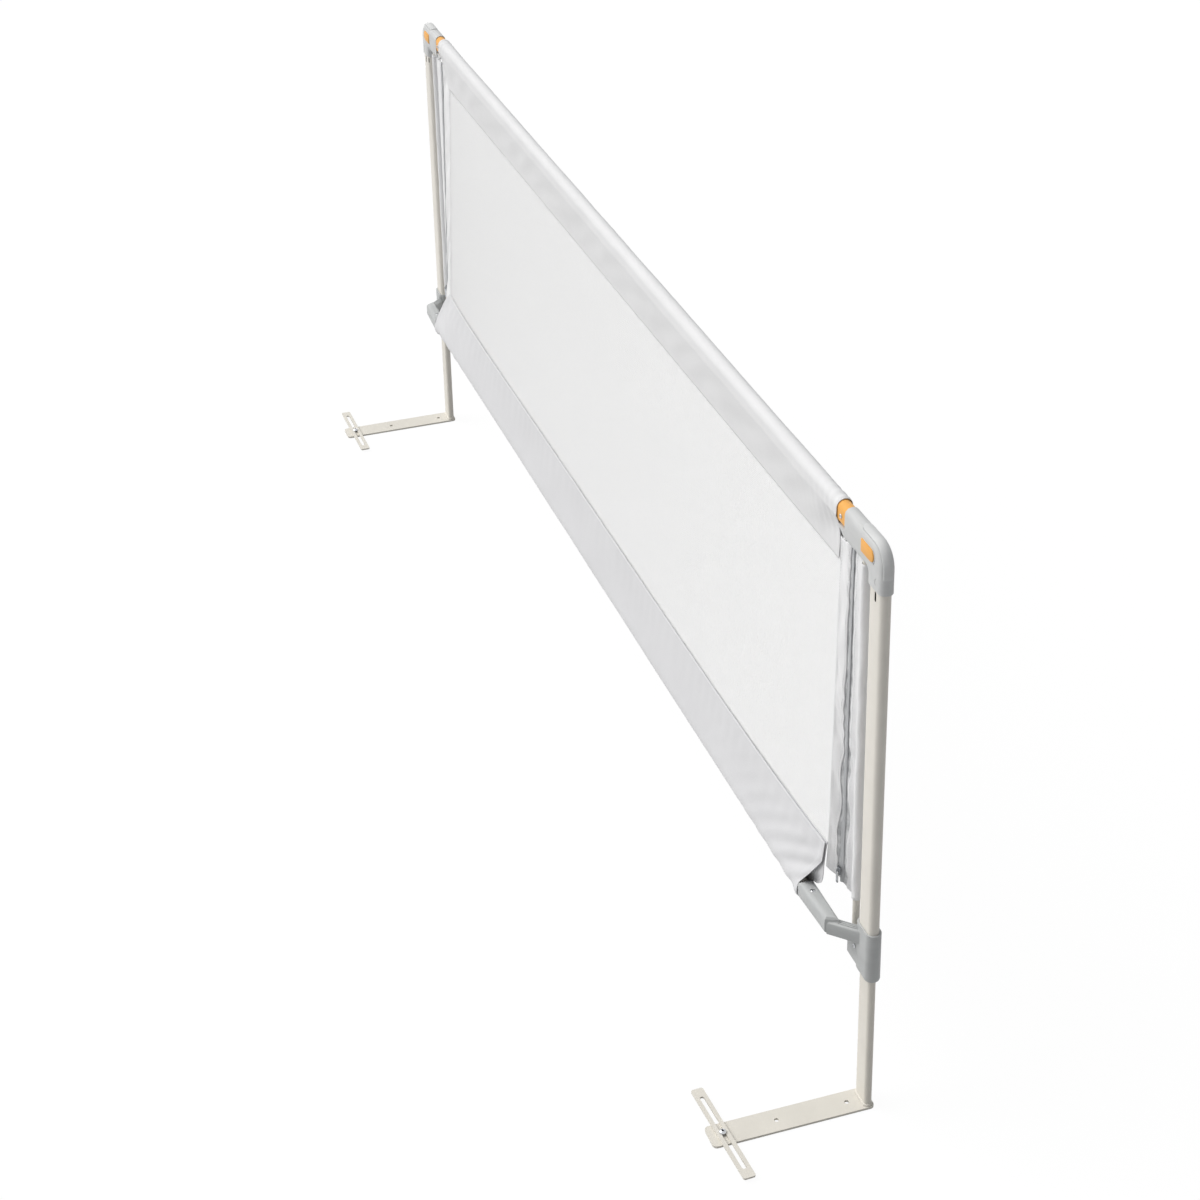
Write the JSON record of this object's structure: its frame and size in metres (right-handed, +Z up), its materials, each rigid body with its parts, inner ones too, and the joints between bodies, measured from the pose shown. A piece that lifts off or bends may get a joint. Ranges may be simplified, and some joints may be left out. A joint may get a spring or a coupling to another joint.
{
  "type": "folding bed guard rail",
  "caption": "Long bed guard rail: oval posts slide on legs with slotted foot plates and carry a net panel on a top tube and a lower tube held by bent arms.",
  "frame": {"origin": "under the middle of the rail's box, on the floor under the foot plates", "axes": "+X along the rail to its right end, -Y towards the mattress and the foot plates' ends, +Z up"},
  "size_m": [2.1202, 0.2136, 0.791],
  "materials": {
    "cream_paint": "satin",
    "zinc_steel": "satin",
    "grey_plastic": "matte",
    "pale_plastic": "matte",
    "orange_plastic": "matte",
    "dark_plastic": "matte",
    "grey_cloth": "matte",
    "grey_tape": "matte",
    "white_net": "matte"
  },
  "bodies": {
    "right_leg": {"foot_plate_right": "cream_paint", "leg_tube_right": "cream_paint", "leg_guide_right": "dark_plastic"},
    "left_leg": {"foot_plate_left": "cream_paint", "leg_tube_left": "cream_paint", "leg_guide_left": "dark_plastic"},
    "rail": {"post_tube_right": "cream_paint", "post_tube_left": "cream_paint", "corner_housing_right": "grey_plastic", "corner_housing_left": "grey_plastic", "corner_cap_right": "pale_plastic", "corner_cap_left": "pale_plastic", "tube_collar_right": "orange_plastic", "tube_collar_left": "orange_plastic", "collar_screw_right": "zinc_steel", "collar_screw_left": "zinc_steel", "lower_bracket_right": "grey_plastic", "lower_bracket_left": "grey_plastic", "arm_screw_right": "zinc_steel", "arm_screw_left": "zinc_steel", "web_screw_right": "zinc_steel", "web_screw_left": "zinc_steel", "side_rod_right": "cream_paint", "side_rod_left": "cream_paint", "flap_inner_right": "grey_cloth", "flap_inner_left": "grey_cloth", "zip_tape_right": "grey_tape", "zip_tape_left": "grey_tape", "flap_outer_right": "grey_cloth", "flap_outer_left": "grey_cloth", "top_tube_right": "cream_paint", "top_tube_left": "cream_paint", "lower_tube_right": "cream_paint", "lower_tube_left": "cream_paint", "top_tube_joiner": "zinc_steel", "lower_tube_joiner": "zinc_steel", "top_sleeve": "grey_cloth", "lower_sleeve": "grey_cloth", "net_panel": "white_net"},
    "release_button_right": {"release_button_right": "orange_plastic"},
    "latch_strip_right": {"latch_strip_right": "zinc_steel"},
    "t_bar_bolt_right": {"t_bar_bolt_right": "zinc_steel"},
    "t_bar_right": {"t_bar_right": "cream_paint"},
    "zip_slider_right": {"zip_slider_right": "zinc_steel"},
    "zip_pull_right": {"zip_pull_right": "zinc_steel"},
    "release_button_left": {"release_button_left": "orange_plastic"},
    "latch_strip_left": {"latch_strip_left": "zinc_steel"},
    "t_bar_bolt_left": {"t_bar_bolt_left": "zinc_steel"},
    "t_bar_left": {"t_bar_left": "cream_paint"},
    "zip_slider_left": {"zip_slider_left": "zinc_steel"},
    "zip_pull_left": {"zip_pull_left": "zinc_steel"}
  },
  "joints": [
    {"name": "rail_lower", "type": "slide", "parent": "right_leg", "child": "rail", "axis": [0, 0, -1], "range_m": [0, 0.165]},
    {"name": "left_leg_stay", "type": "slide", "parent": "rail", "child": "left_leg", "axis": [0, 0, 1], "range_m": [0, 0.165]},
    {"name": "button_press_right", "type": "slide", "parent": "rail", "child": "release_button_right", "axis": [0, 1, 0], "range_m": [0, 0.0025], "stiffness_N_per_m": 1500},
    {"name": "latch_shift_right", "type": "slide", "parent": "rail", "child": "latch_strip_right", "axis": [1, 0, 0], "range_m": [0, 0.003]},
    {"name": "bar_swivel_right", "type": "hinge", "parent": "right_leg", "child": "t_bar_bolt_right", "pos_m": [0.97988, -0.08877, 0], "axis": [0, 0, 1], "continuous": true},
    {"name": "bar_slide_right", "type": "slide", "parent": "t_bar_bolt_right", "child": "t_bar_right", "axis": [0.9985, 0.0541, 0], "range_m": [-0.06, 0.06]},
    {"name": "zip_run_right", "type": "slide", "parent": "rail", "child": "zip_slider_right", "axis": [-0.0301, 0.0225, 0.9993], "range_m": [0, 0.421]},
    {"name": "pull_lift_right", "type": "hinge", "parent": "zip_slider_right", "child": "zip_pull_right", "pos_m": [0.92134, 0.07913, 0.309], "axis": [-1, 0, 0], "range_deg": [0, 150]},
    {"name": "button_press_left", "type": "slide", "parent": "rail", "child": "release_button_left", "axis": [0, 1, 0], "range_m": [0, 0.0025], "stiffness_N_per_m": 1500},
    {"name": "latch_shift_left", "type": "slide", "parent": "rail", "child": "latch_strip_left", "axis": [-1, 0, 0], "range_m": [0, 0.003]},
    {"name": "bar_swivel_left", "type": "hinge", "parent": "left_leg", "child": "t_bar_bolt_left", "pos_m": [-0.98012, -0.08877, 0], "axis": [0, 0, 1], "continuous": true},
    {"name": "bar_slide_left", "type": "slide", "parent": "t_bar_bolt_left", "child": "t_bar_left", "axis": [0.9999, 0.0105, 0], "range_m": [-0.06, 0.06]},
    {"name": "zip_run_left", "type": "slide", "parent": "rail", "child": "zip_slider_left", "axis": [0.0167, 0.0218, 0.9996], "range_m": [0, 0.421]},
    {"name": "pull_lift_left", "type": "hinge", "parent": "zip_slider_left", "child": "zip_pull_left", "pos_m": [-0.89591, 0.0808, 0.309], "axis": [-1, 0, 0], "range_deg": [0, 150]}
  ],
  "couplings": [
    {"joint": "left_leg_stay", "follows": "rail_lower", "ratio": 1},
    {"joint": "latch_shift_right", "follows": "button_press_right", "ratio": 1.2},
    {"joint": "latch_shift_left", "follows": "button_press_left", "ratio": 1.2}
  ]
}
